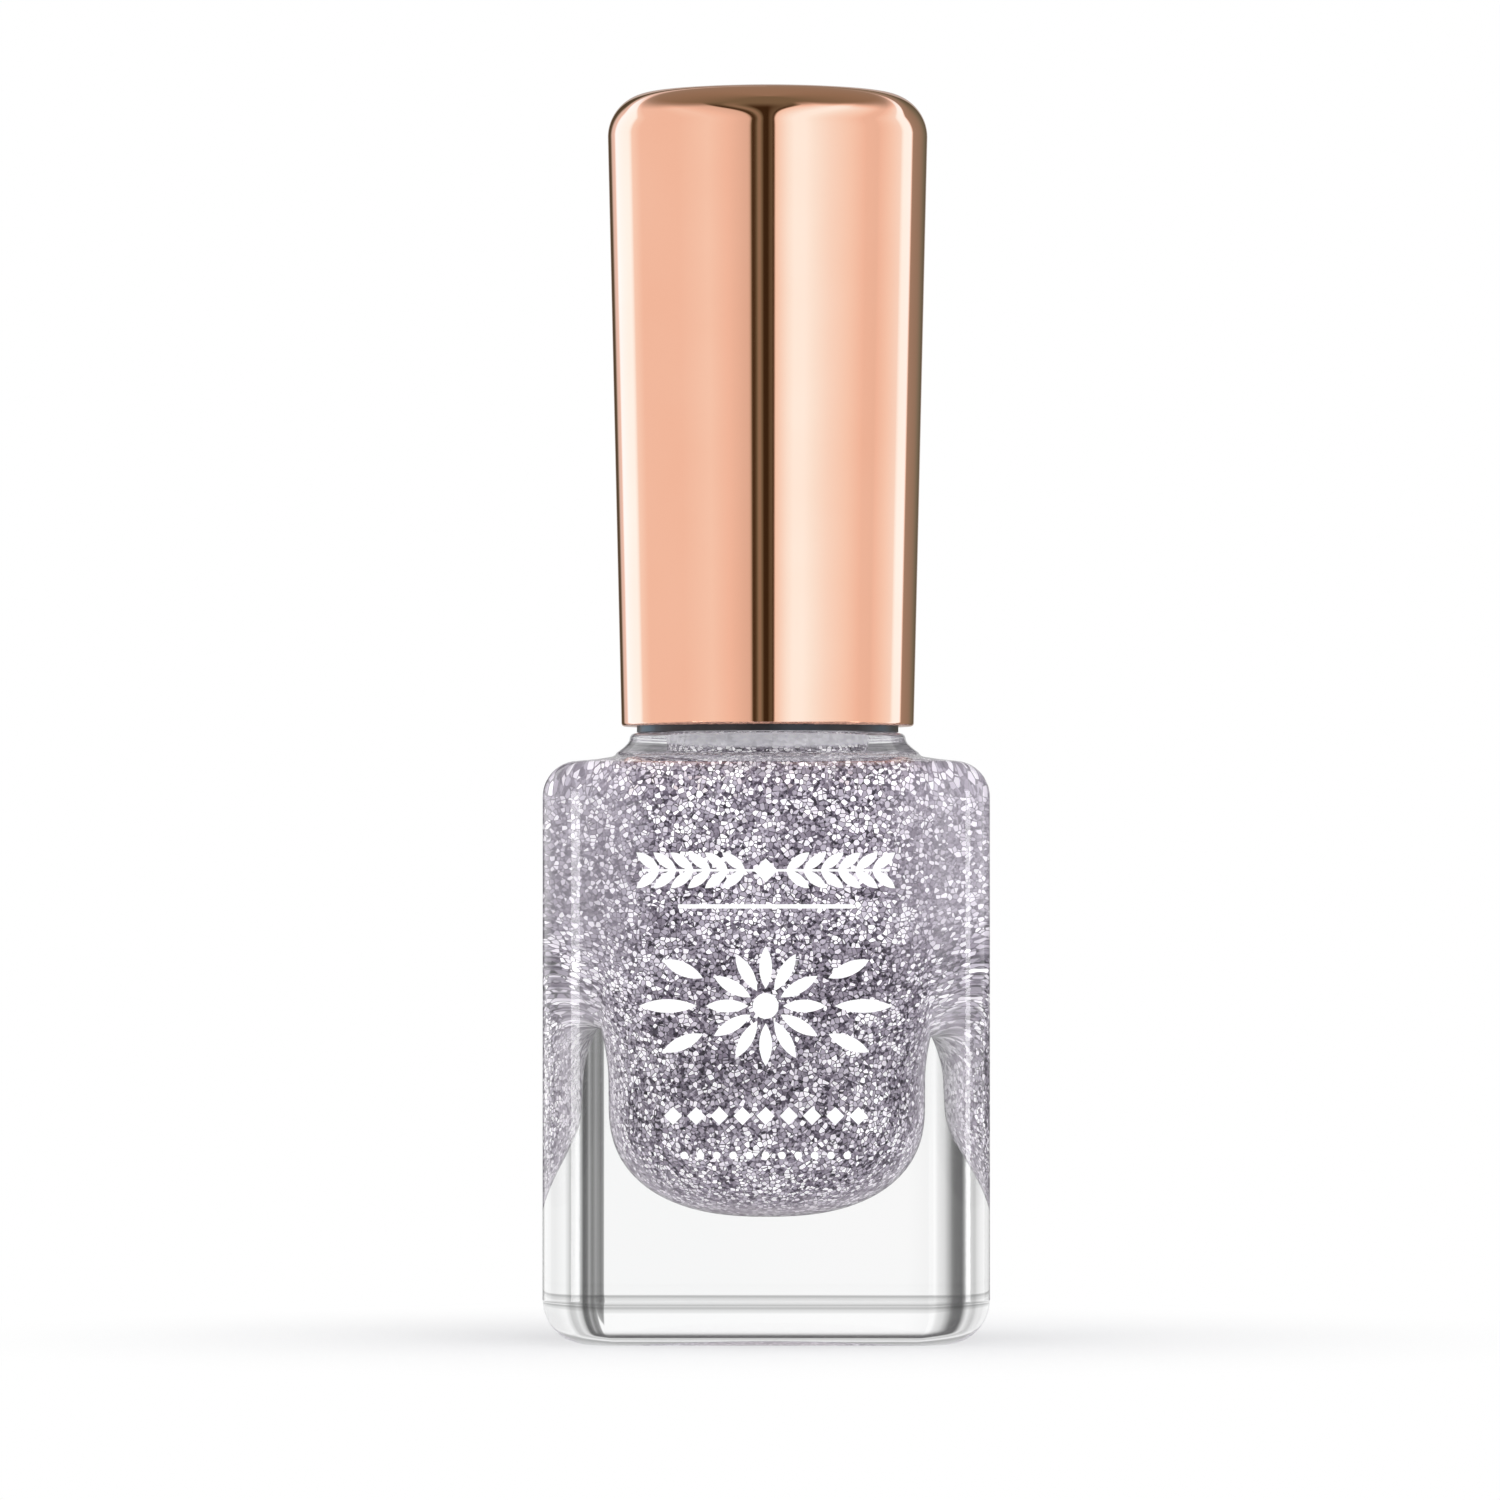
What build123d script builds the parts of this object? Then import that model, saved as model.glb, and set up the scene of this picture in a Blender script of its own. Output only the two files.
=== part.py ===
"""Nail polish bottle: a square glass bottle, its polish, and a round screw cap with a brush.

Every size is in millimetres.  The origin is the centre of the bottle's base, +Z runs up the
bottle's axis, and the printed front face looks along -Y.
"""
import math
import os

from build123d import *

# How far a part runs into the part it is joined to in one solid
JOINING_DEPTH = 0.3

# Bottle, outside
BODY_WIDTH = 26.2
BODY_CORNER_RADIUS = 3.5
BASE_ROUNDING = 2.7
BASE_RECESS_RADIUS = 8.4
BASE_RECESS_DEPTH = 0.35
SHOULDER_EDGE_Z = 33.9
SHOULDER_TOP_Z = 34.6
SHOULDER_ROUNDING = 2.1
COLLAR_BASE_RADIUS = 8.95
COLLAR_TOP_RADIUS = 8.2
COLLAR_TOP_Z = 36.0
COLLAR_WAIST = 0.15
COLLAR_TOP_ROUNDING = 0.3
NECK_RADIUS = 5.7
RIM_Z = 47.6
RIM_ROUNDING = 0.5

# Bottle, inside: a bowl with upright sides that opens into a square chamber
CAVITY_FLOOR_Z = 7.4
CAVITY_SECTIONS = 15
BOWL_HALF_WIDTH = 9.3
BOWL_HEIGHT = 6.6
BOWL_POWER = 2.4
FLARE = 2.6
FLARE_START = 8.0
FLARE_END = 20.0
CAVITY_STRAIGHT_Z = 31.2
CAVITY_TOP_Z = 33.2
CAVITY_TOP_ROUNDING = 1.6
BOTTOM_ROUNDNESS = 0.96
TOP_ROUNDNESS = 0.42
BORE_RADIUS = 4.0

# Screw thread between the neck and the inner cap
THREAD_PITCH = 2.1
THREAD_TURNS = 1.5
THREAD_CREST_RADIUS = 6.3
THREAD_ROOT_WIDTH = 1.2
THREAD_CREST_WIDTH = 0.6
NECK_THREAD_Z = 42.0
CAP_THREAD_Z = 39.8
THREAD_CREST_GAP = 0.05
THREAD_ROOT_DEPTH = 0.1

# Polish
POLISH_LEVEL_Z = 34.9
POLISH_GAP = 0.02
BRUSH_CHANNEL_RADIUS = 2.25
BRUSH_CHANNEL_FLOOR_Z = 8.7

# Steel mixing balls
BALL_RADIUS = 2.0
BALL_OFFSET = 5.0
BALL_REST_Z = 10.8
BALL_TRAVEL = 8.0
BALL_POCKET_GAP = 0.05

# Outer cap
CAP_BOTTOM_Z = 36.4
CAP_BOTTOM_RADIUS = 8.7
CAP_TOP_RADIUS = 9.52
CAP_CORNER_RADIUS = 2.6
CAP_CORNER_Z = 71.5
CAP_DOME_SLOPE = 5.8
CAP_WALL = 0.9
CAP_RIM_ROUNDING = 0.4

# Inner cap
SKIRT_BOTTOM_Z = 36.05
SKIRT_OUTER_RADIUS = 7.5
SKIRT_INNER_RADIUS = 6.95
SKIRT_FOOT_HEIGHT = 1.2
PLATE_THICKNESS = 1.5
BOSS_RADIUS = 3.4
BOSS_TOP_Z = 55.3
FIN_THICKNESS = 1.0
FIN_TOP_Z = 66.5
GRIP_RIB_COUNT = 24
GRIP_RIB_WIDTH = 0.4
CAP_SEAT_GAP = 0.02

# Sealing liner
LINER_THICKNESS = 0.8
LINER_OUTER_RADIUS = 6.5
LINER_INNER_RADIUS = 3.3

# Brush
STEM_HEAD_RADIUS = 2.2
STEM_HEAD_TOP_Z = 54.8
STEM_STOP_RADIUS = 3.1
STEM_STOP_THICKNESS = 0.6
STEM_TOP_RADIUS = 1.9
STEM_TIP_RADIUS = 1.55
STEM_TIP_Z = 26.5
STEM_TIP_ROUNDING = 0.25
STEM_SOCKET_RADIUS = 1.1
STEM_SOCKET_DEPTH = 4.0
TUFT_ROOT_RADIUS = 1.06
TUFT_BELLY_RADIUS = 1.75
TUFT_TIP_RADIUS = 1.2
TUFT_TOP_Z = 30.4
TUFT_BELLY_Z = 14.4
TUFT_TIP_Z = 9.4
ANCHOR_WIDTH = 1.9
ANCHOR_HEIGHT = 1.4
ANCHOR_THICKNESS = 0.35
ANCHOR_Z = 29.3
ANCHOR_GAP = 0.02

# White ornament printed on the front face
PRINT_THICKNESS = 0.03
ROSETTE_Z = 19.9
ROSETTE_PETALS = 12
ROSETTE_PETAL_LENGTH = 2.5
ROSETTE_PETAL_WIDTH = 0.75
ROSETTE_HUB_RADIUS = 0.75
ROSETTE_PETAL_START = 1.0
WING_START = 4.0
WING_LEAF_LENGTH = 3.4
WING_SIDE_LEAF_LENGTH = 2.6
WING_LEAF_WIDTH = 0.8
WING_TILT = 24
SPRIG_Z = 27.8
SPRIG_HALF_WIDTH = 7.2
SPRIG_LEAF_PAIRS = 6
SPRIG_LEAF_LENGTH = 1.7
SPRIG_LEAF_WIDTH = 0.6
SPRIG_LEAF_TILT = 38
SPRIG_LEAF_START = 1.2
SPRIG_STEM_WIDTH = 0.14
SPRIG_CENTRE_SIZE = 1.0
RULE_Z = 25.7
RULE_LENGTH = 10.2
RULE_WIDTH = 0.25
DIAMOND_ROW_Z = 13.5
DIAMOND_COUNT = 9
DIAMOND_PITCH = 1.35
DIAMOND_SIZE = 0.75
DOT_ROW_Z = 11.2
DOT_COUNT = 11
DOT_PITCH = 0.95
DOT_RADIUS = 0.22


def smooth_step(share):
    """Ease from 0 to 1 as share goes from 0 to 1."""
    share = min(max(share, 0.0), 1.0)
    return share * share * (3.0 - 2.0 * share)


def disc(radius, low_z, high_z):
    """A solid round slab on the bottle's axis."""
    return extrude(Pos(0, 0, low_z) * Circle(radius), high_z - low_z)


def tube(outer_radius, inner_radius, low_z, high_z):
    """A round slab with a round hole through it."""
    return disc(outer_radius, low_z, high_z) - disc(inner_radius, low_z - 1, high_z + 1)


def turned(outline):
    """The solid swept by turning a closed outline in the XZ plane about the axis."""
    return revolve(Plane.XZ * make_face(outline), Axis.Z)


def edges_at(shape, z):
    """The level edges of a shape at one height."""
    return shape.edges().filter_by_position(Axis.Z, z - 0.01, z + 0.01)


def helical_ridge(root_radius, crest_radius, start_z):
    """A screw thread ridge; it points inward when the crest is inside the root."""
    path = Helix(THREAD_PITCH, THREAD_PITCH * THREAD_TURNS, root_radius, center=(0, 0, start_z))
    section_plane = Plane(origin=path @ 0, x_dir=(1, 0, 0), z_dir=path % 0)
    height = crest_radius - root_radius
    section = Polygon(
        (0, -THREAD_ROOT_WIDTH / 2),
        (height, -THREAD_CREST_WIDTH / 2),
        (height, THREAD_CREST_WIDTH / 2),
        (0, THREAD_ROOT_WIDTH / 2),
        align=None,
    )
    return sweep(section_plane * section, path=path, is_frenet=True)


def bottle_body():
    """The square block of the bottle: rounded corners, base edge and shoulder."""
    square = RectangleRounded(BODY_WIDTH, BODY_WIDTH, BODY_CORNER_RADIUS)
    crown = 2 * COLLAR_BASE_RADIUS
    crown_square = RectangleRounded(crown, crown, 0.49 * crown)
    block = extrude(square, SHOULDER_EDGE_Z)
    foot_of_slope = Pos(0, 0, SHOULDER_EDGE_Z) * square
    top_of_slope = Pos(0, 0, SHOULDER_TOP_Z) * crown_square
    body = block + loft([foot_of_slope, top_of_slope], ruled=True)
    body = fillet(edges_at(body, SHOULDER_EDGE_Z), SHOULDER_ROUNDING)
    return fillet(edges_at(body, 0), BASE_ROUNDING)


def base_recess():
    """The shallow hollow under the bottle that leaves a flat ring to stand on."""
    inner_radius = BASE_RECESS_RADIUS - BASE_RECESS_DEPTH
    return loft([Circle(BASE_RECESS_RADIUS), Pos(0, 0, BASE_RECESS_DEPTH) * Circle(inner_radius)])


def bottle_collar():
    """The low waisted ring of glass between the shoulder and the neck."""
    low = (COLLAR_BASE_RADIUS, SHOULDER_TOP_Z - JOINING_DEPTH)
    high = (COLLAR_TOP_RADIUS, COLLAR_TOP_Z)
    waist = ((low[0] + high[0]) / 2 - COLLAR_WAIST, (low[1] + high[1]) / 2)
    outline = Curve() + [
        Line((0, low[1]), low),
        ThreePointArc(low, waist, high),
        Line(high, (0, high[1])),
        Line((0, high[1]), (0, low[1])),
    ]
    collar = turned(outline)
    return fillet(edges_at(collar, COLLAR_TOP_Z), COLLAR_TOP_ROUNDING)


def bottle_neck():
    """The threaded neck, from the collar to the rim."""
    neck = disc(NECK_RADIUS, COLLAR_TOP_Z - JOINING_DEPTH, RIM_Z)
    neck = fillet(edges_at(neck, RIM_Z), RIM_ROUNDING)
    return neck + helical_ridge(NECK_RADIUS - THREAD_ROOT_DEPTH, THREAD_CREST_RADIUS, NECK_THREAD_Z)


def cavity_half_width(height):
    """Half the width of the cavity at a height above its floor."""
    bowl_share = 1.0 - max(1.0 - height / BOWL_HEIGHT, 0.0) ** BOWL_POWER
    flare_share = smooth_step((height - FLARE_START) / (FLARE_END - FLARE_START))
    return BOWL_HALF_WIDTH * bowl_share ** (1.0 / BOWL_POWER) + FLARE * flare_share


def cavity_section(height, inset):
    """The cavity's rounded-square outline at a height above its floor."""
    half_width = cavity_half_width(height) - inset
    squareness = smooth_step(height / FLARE_END)
    roundness = BOTTOM_ROUNDNESS + (TOP_ROUNDNESS - BOTTOM_ROUNDNESS) * squareness
    return RectangleRounded(2 * half_width, 2 * half_width, roundness * half_width)


def cavity(inset, bore_top_z):
    """The space inside the glass up to bore_top_z, with every wall moved in by inset."""
    # The sections crowd together near the floor, where the bowl curves most.
    top_height = CAVITY_STRAIGHT_Z - CAVITY_FLOOR_Z
    heights = [top_height * (i / CAVITY_SECTIONS) ** 2 for i in range(1, CAVITY_SECTIONS + 1)]
    bowl = loft([Pos(0, 0, CAVITY_FLOOR_Z + h + inset) * cavity_section(h, inset) for h in heights])
    roof_height = CAVITY_TOP_Z - CAVITY_STRAIGHT_Z - 2 * inset
    roof = extrude(Pos(0, 0, CAVITY_STRAIGHT_Z + inset) * cavity_section(top_height, inset), roof_height)
    roof = fillet(roof.edges().filter_by(Plane.XY).group_by(Axis.Z)[-1], CAVITY_TOP_ROUNDING)
    return bowl + roof + disc(BORE_RADIUS - inset, CAVITY_TOP_Z - 1, bore_top_z)


def glass_bottle():
    """The clear glass bottle in one piece."""
    bottle = bottle_body() + bottle_collar() + bottle_neck()
    return bottle - cavity(0, RIM_Z + 1) - base_recess()


def ball_centre(side):
    """The centre of a mixing ball at rest; side is -1 for the left ball, 1 for the right."""
    return Pos(side * BALL_OFFSET, 0, BALL_REST_Z)


def mixing_ball(side):
    """One steel ball that stirs the polish when the bottle is shaken."""
    return ball_centre(side) * Sphere(BALL_RADIUS)


def ball_pocket(side):
    """The upright round-ended space in the polish that a mixing ball slides in."""
    radius = BALL_RADIUS + BALL_POCKET_GAP
    low = ball_centre(side) * Sphere(radius)
    high = Pos(0, 0, BALL_TRAVEL) * low
    middle = Pos(side * BALL_OFFSET, 0, BALL_REST_Z) * extrude(Circle(radius), BALL_TRAVEL)
    return low + middle + high


def polish_fill():
    """The polish as a solid, with room for the brush and the mixing balls to move."""
    channel = disc(BRUSH_CHANNEL_RADIUS, BRUSH_CHANNEL_FLOOR_Z, POLISH_LEVEL_Z + 1)
    return cavity(POLISH_GAP, POLISH_LEVEL_Z) - channel - ball_pocket(-1) - ball_pocket(1)


def cap_radius(z, inset):
    """Radius of the cap's straight tapered wall at a height, moved in by inset."""
    share = (z - CAP_BOTTOM_Z) / (CAP_CORNER_Z - CAP_BOTTOM_Z)
    return CAP_BOTTOM_RADIUS + (CAP_TOP_RADIUS - CAP_BOTTOM_RADIUS) * share - inset


def on_circle(centre, radius, degrees_from_vertical):
    """The point on a circle at an angle measured from straight up, towards +X."""
    angle = math.radians(degrees_from_vertical)
    return (centre[0] + radius * math.sin(angle), centre[1] + radius * math.cos(angle))


def cap_block(inset, bottom_z):
    """The cap as a solid block with its wall, corner and dome moved in by inset."""
    corner_centre = (CAP_TOP_RADIUS - CAP_CORNER_RADIUS, CAP_CORNER_Z)
    corner_radius = CAP_CORNER_RADIUS - inset
    corner_start = (corner_centre[0] + corner_radius, CAP_CORNER_Z)
    corner_middle = on_circle(corner_centre, corner_radius, 45)
    corner_end = on_circle(corner_centre, corner_radius, CAP_DOME_SLOPE)
    # The dome is centred on the axis and runs smoothly out of the corner.
    slope = math.radians(CAP_DOME_SLOPE)
    centre_gap = corner_centre[0] / math.sin(slope)
    dome_centre = (0, CAP_CORNER_Z - centre_gap * math.cos(slope))
    dome_radius = centre_gap + corner_radius
    dome_middle = on_circle(dome_centre, dome_radius, CAP_DOME_SLOPE / 2)
    dome_top = on_circle(dome_centre, dome_radius, 0)
    bottom = (cap_radius(bottom_z, inset), bottom_z)
    outline = Curve() + [
        Line((0, bottom_z), bottom),
        Line(bottom, corner_start),
        ThreePointArc(corner_start, corner_middle, corner_end),
        ThreePointArc(corner_end, dome_middle, dome_top),
        Line(dome_top, (0, bottom_z)),
    ]
    return turned(outline)


def outer_cap():
    """The metallised cap shell, open at the bottom."""
    shell = cap_block(0, CAP_BOTTOM_Z) - cap_block(CAP_WALL, CAP_BOTTOM_Z - 1)
    return fillet(edges_at(shell, CAP_BOTTOM_Z), CAP_RIM_ROUNDING)


def cap_fins():
    """Upright fins that hold the outer cap square on the inner cap."""
    low_z = RIM_Z + LINER_THICKNESS
    height = FIN_TOP_Z - low_z
    slab = Pos(0, 0, low_z + height / 2) * Box(2 * CAP_TOP_RADIUS, FIN_THICKNESS, height)
    slabs = slab + Rot(0, 0, 90) * slab
    return slabs & cap_block(CAP_WALL + CAP_SEAT_GAP, low_z)


def grip_ribs():
    """Small upright ribs round the skirt that press into the outer cap."""
    inner = SKIRT_OUTER_RADIUS - JOINING_DEPTH
    outer = CAP_BOTTOM_RADIUS - CAP_WALL - CAP_SEAT_GAP
    height = RIM_Z + LINER_THICKNESS - SKIRT_BOTTOM_Z
    rib = Box(outer - inner, GRIP_RIB_WIDTH, height)
    rib = Pos((outer + inner) / 2, 0, SKIRT_BOTTOM_Z + height / 2) * rib
    return [Rot(0, 0, 360 * i / GRIP_RIB_COUNT) * rib for i in range(GRIP_RIB_COUNT)]


def inner_cap():
    """The plain plastic cap inside the outer one: thread, top plate, boss and fins."""
    plate_z = RIM_Z + LINER_THICKNESS
    plate_top_z = plate_z + PLATE_THICKNESS
    foot_radius = CAP_BOTTOM_RADIUS - CAP_WALL - CAP_SEAT_GAP
    body = tube(SKIRT_OUTER_RADIUS, SKIRT_INNER_RADIUS, SKIRT_BOTTOM_Z, plate_z)
    body += tube(foot_radius, SKIRT_INNER_RADIUS, SKIRT_BOTTOM_Z, SKIRT_BOTTOM_Z + SKIRT_FOOT_HEIGHT)
    body += grip_ribs()
    body += disc(SKIRT_OUTER_RADIUS, plate_z, plate_top_z)
    body += disc(BOSS_RADIUS, plate_z, BOSS_TOP_Z)
    body += cap_fins()
    thread_root_radius = SKIRT_INNER_RADIUS + THREAD_ROOT_DEPTH
    body += helical_ridge(thread_root_radius, THREAD_CREST_RADIUS + THREAD_CREST_GAP, CAP_THREAD_Z)
    return body - disc(STEM_HEAD_RADIUS + CAP_SEAT_GAP, plate_z - 1, STEM_HEAD_TOP_Z)


def sealing_liner():
    """The soft washer squeezed between the rim and the inner cap."""
    return tube(LINER_OUTER_RADIUS, LINER_INNER_RADIUS, RIM_Z, RIM_Z + LINER_THICKNESS)


def brush_stem():
    """The brush handle: head in the cap's boss, stop disc, tapered rod, bristle socket."""
    stop_top_z = RIM_Z + LINER_THICKNESS - CAP_SEAT_GAP
    stop_low_z = stop_top_z - STEM_STOP_THICKNESS
    head = disc(STEM_HEAD_RADIUS, stop_low_z, STEM_HEAD_TOP_Z - CAP_SEAT_GAP)
    stop = disc(STEM_STOP_RADIUS, stop_low_z, stop_top_z)
    tip = Pos(0, 0, STEM_TIP_Z) * Circle(STEM_TIP_RADIUS)
    rod = loft([tip, Pos(0, 0, stop_low_z) * Circle(STEM_TOP_RADIUS)])
    rod = fillet(edges_at(rod, STEM_TIP_Z), STEM_TIP_ROUNDING)
    socket = disc(STEM_SOCKET_RADIUS, STEM_TIP_Z - 1, STEM_TIP_Z + STEM_SOCKET_DEPTH)
    return head + stop + rod - socket


def anchor_block(gap):
    """The flat plate that pins the folded bristles, grown by gap on every side."""
    plate = Box(ANCHOR_WIDTH + 2 * gap, ANCHOR_THICKNESS + 2 * gap, ANCHOR_HEIGHT + 2 * gap)
    return Pos(0, 0, ANCHOR_Z) * plate


def bristle_anchor():
    """The metal staple that holds the bristles in the stem."""
    return anchor_block(0)


def bristle_tuft():
    """The bristles as one solid bundle with a rounded tip."""
    root_top = (TUFT_ROOT_RADIUS, TUFT_TOP_Z)
    root_end = (TUFT_ROOT_RADIUS, STEM_TIP_Z)
    belly = (TUFT_BELLY_RADIUS, TUFT_BELLY_Z)
    tip_edge = (TUFT_TIP_RADIUS, TUFT_TIP_Z + 1.0)
    outline = Curve() + [
        Line((0, root_top[1]), root_top),
        Line(root_top, root_end),
        Spline(root_end, belly, tip_edge, (0, TUFT_TIP_Z), tangents=((0.1, -1), (-1, 0))),
        Line((0, TUFT_TIP_Z), (0, root_top[1])),
    ]
    return turned(outline) - anchor_block(ANCHOR_GAP)


def leaf(length, width):
    """A pointed leaf along +X that starts at the origin."""
    half = width / 2
    upper = ThreePointArc((0, 0), (length / 2, half), (length, 0))
    lower = ThreePointArc((length, 0), (length / 2, -half), (0, 0))
    return make_face(Curve() + [upper, lower])


def rosette():
    """A ring of petals round a dot."""
    petal = Pos(ROSETTE_PETAL_START, 0) * leaf(ROSETTE_PETAL_LENGTH, ROSETTE_PETAL_WIDTH)
    petals = [Rot(0, 0, 360 * i / ROSETTE_PETALS) * petal for i in range(ROSETTE_PETALS)]
    return petals + [Circle(ROSETTE_HUB_RADIUS)]


def rosette_wings():
    """Leaves that reach out from both sides of the rosette."""
    middle_leaf = Pos(WING_START, 0) * leaf(WING_LEAF_LENGTH, WING_LEAF_WIDTH)
    side_leaf = Pos(WING_START, 0) * leaf(WING_SIDE_LEAF_LENGTH, WING_LEAF_WIDTH)
    wing = [middle_leaf, Rot(0, 0, WING_TILT) * side_leaf, Rot(0, 0, -WING_TILT) * side_leaf]
    return wing + [Rot(0, 0, 180) * shape for shape in wing]


def sprig():
    """A level twig with pairs of leaves that point away from the middle."""
    spacing = (SPRIG_HALF_WIDTH - SPRIG_LEAF_START) / SPRIG_LEAF_PAIRS
    half = []
    for i in range(SPRIG_LEAF_PAIRS):
        root = Pos(SPRIG_LEAF_START + i * spacing, 0)
        for tilt in (-SPRIG_LEAF_TILT, SPRIG_LEAF_TILT):
            half.append(root * Rot(0, 0, tilt) * leaf(SPRIG_LEAF_LENGTH, SPRIG_LEAF_WIDTH))
    stem = Rectangle(2 * SPRIG_HALF_WIDTH, SPRIG_STEM_WIDTH)
    centre = Rot(0, 0, 45) * Rectangle(SPRIG_CENTRE_SIZE, SPRIG_CENTRE_SIZE)
    return half + [Rot(0, 0, 180) * shape for shape in half] + [stem, centre]


def row_of(shape, count, pitch):
    """Copies of a shape in a level row about the middle."""
    return [Pos((i - (count - 1) / 2) * pitch, 0) * shape for i in range(count)]


def front_print():
    """The white ornament: sprig, rule, rosette with wings, a row of diamonds and one of dots."""
    diamond = Rot(0, 0, 45) * Rectangle(DIAMOND_SIZE, DIAMOND_SIZE)
    groups = {
        SPRIG_Z: sprig(),
        RULE_Z: [Rectangle(RULE_LENGTH, RULE_WIDTH)],
        ROSETTE_Z: rosette() + rosette_wings(),
        DIAMOND_ROW_Z: row_of(diamond, DIAMOND_COUNT, DIAMOND_PITCH),
        DOT_ROW_Z: row_of(Circle(DOT_RADIUS), DOT_COUNT, DOT_PITCH),
    }
    ink = Sketch()
    for height, shapes in groups.items():
        ink += [Pos(0, height) * shape for shape in shapes]
    front = Plane(origin=(0, -BODY_WIDTH / 2, 0), x_dir=(1, 0, 0), z_dir=(0, -1, 0))
    return extrude(front * ink, PRINT_THICKNESS)


NODES = {
    "glass_bottle": glass_bottle,
    "front_print": front_print,
    "polish_fill": polish_fill,
    "mixing_ball_left": lambda: mixing_ball(-1),
    "mixing_ball_right": lambda: mixing_ball(1),
    "sealing_liner": sealing_liner,
    "brush_stem": brush_stem,
    "bristle_anchor": bristle_anchor,
    "bristle_tuft": bristle_tuft,
    "inner_cap": inner_cap,
    "outer_cap": outer_cap,
}

os.makedirs("parts", exist_ok=True)
for node, build in NODES.items():
    export_step(build(), f"parts/{node}.step")
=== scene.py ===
"""Looks for the nail polish bottle: finished meshes, materials, studio and camera.

Lengths in this file are in millimetres and are scaled to metres when a mesh is made.
The bottle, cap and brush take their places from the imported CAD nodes.
"""
import math
import random

import bpy
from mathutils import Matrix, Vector


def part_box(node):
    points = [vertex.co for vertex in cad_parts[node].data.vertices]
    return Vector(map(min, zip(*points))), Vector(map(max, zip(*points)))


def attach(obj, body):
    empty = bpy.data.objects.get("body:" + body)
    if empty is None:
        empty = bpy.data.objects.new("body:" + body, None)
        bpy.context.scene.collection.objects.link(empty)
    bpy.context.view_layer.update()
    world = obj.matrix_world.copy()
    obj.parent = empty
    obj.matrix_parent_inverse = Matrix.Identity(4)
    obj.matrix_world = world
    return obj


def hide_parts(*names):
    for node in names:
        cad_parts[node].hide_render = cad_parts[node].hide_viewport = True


MM = 0.001

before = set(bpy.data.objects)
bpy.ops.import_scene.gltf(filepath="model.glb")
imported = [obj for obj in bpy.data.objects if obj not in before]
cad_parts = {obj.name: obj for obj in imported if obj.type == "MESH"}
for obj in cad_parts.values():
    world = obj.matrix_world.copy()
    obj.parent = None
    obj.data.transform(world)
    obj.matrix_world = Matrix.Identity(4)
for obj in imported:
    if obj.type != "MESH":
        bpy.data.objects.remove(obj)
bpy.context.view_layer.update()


def box_mm(node):
    """Lowest and highest corner of a CAD node, in millimetres."""
    low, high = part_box(node)
    return low / MM, high / MM


GLASS_LOW, GLASS_HIGH = box_mm("glass_bottle")
CAP_LOW, CAP_HIGH = box_mm("outer_cap")
TUFT_LOW = box_mm("bristle_tuft")[0]
STEM_LOW = box_mm("brush_stem")[0]

# Bottle, outside; tilts are in degrees above the horizon
BODY_HALF = GLASS_HIGH.x
RIM_Z = GLASS_HIGH.z
CORNER_RADIUS = 3.5
BASE_ROUNDING = 2.7
BASE_CORNER_SHRINK = 0.5
RECESS_RADIUS = 8.4
RECESS_DEPTH = 0.35
RECESS_EDGE = 0.6
RECESS_EDGE_TILT = -70
STANDING_MARGIN = 0.3
SHOULDER_ROUNDING = 2.1
SHOULDER_SLOPE = 9.5
SHOULDER_TOP_Z = 34.6
COLLAR_BASE_RADIUS = 8.95
COLLAR_TOP_RADIUS = 8.2
COLLAR_TOP_Z = 36.0
COLLAR_FILLET = 0.4
COLLAR_LOW_TILT = 24
COLLAR_HIGH_TILT = 12
COLLAR_ROUNDING = 0.35
NECK_RADIUS = 5.7
NECK_FILLET = 0.3
NECK_FOOT = 0.4
RIM_ROUNDING = 0.5
BORE_RADIUS = 4.0

# Thread on the neck
THREAD_PITCH = 2.1
THREAD_TURNS = 1.5
THREAD_HEIGHT = 0.6
THREAD_HALF_WIDTH = 0.6
THREAD_ROOT = 1.35
THREAD_RUN_OUT = 0.12
THREAD_START_Z = 42.0
THREAD_LOW_MARGIN = 0.5
THREAD_HIGH_MARGIN = 0.6

# Cavity: a bowl that opens into a square chamber
CAVITY_FLOOR_Z = 7.4
BOWL_HALF_WIDTH = 9.3
BOWL_HEIGHT = 6.6
BOWL_POWER = 2.4
FLARE = 2.6
FLARE_START = 8.0
FLARE_HEIGHT = 20.0
ROOF_Z = 33.2
ROOF_ROUNDING = 1.6
BORE_FILLET = 0.4
BOTTOM_ROUNDNESS = 0.96
TOP_ROUNDNESS = 0.42

# Polish, which stands in the bore and creeps up its wall
POLISH_LEVEL_Z = 35.8
POLISH_OVERLAP = 0.03
POLISH_MIDDLE = 1.5
CREEP_WIDTH = 0.4
CREEP_RISE = 0.15

# Outer cap
CAP_BOTTOM_RADIUS = 8.7
CAP_TOP_RADIUS = CAP_HIGH.x
CAP_CORNER_RADIUS = 2.6
CAP_CORNER_Z = 71.5
CAP_DOME_SLOPE = 5.8
CAP_WALL = 0.9
CAP_RIM_ROUNDING = 0.2

# Bristles
BRISTLE_COUNT = 260
BRISTLE_RADIUS = 0.05
BRISTLE_SIDES = 5
BRISTLE_STEPS = 9
BRISTLE_SEED = 7
BRISTLE_ROOT_DEPTH = 1.5
TUFT_ROOT_RADIUS = 1.0
TUFT_SWELL = 0.75
TUFT_BELLY_END = 1.05
TUFT_BELLY_POWER = 0.8
TUFT_SPREAD = 0.1
TUFT_TIP_HEIGHT = 2.2
TUFT_UNEVENNESS = 0.35
BRISTLE_SCATTER = 0.1
BRISTLE_WANDER = 0.12
BRISTLE_TAPER_START = 0.9
BRISTLE_TAPER = 0.6
GOLDEN_ANGLE = 2.39996

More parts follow.
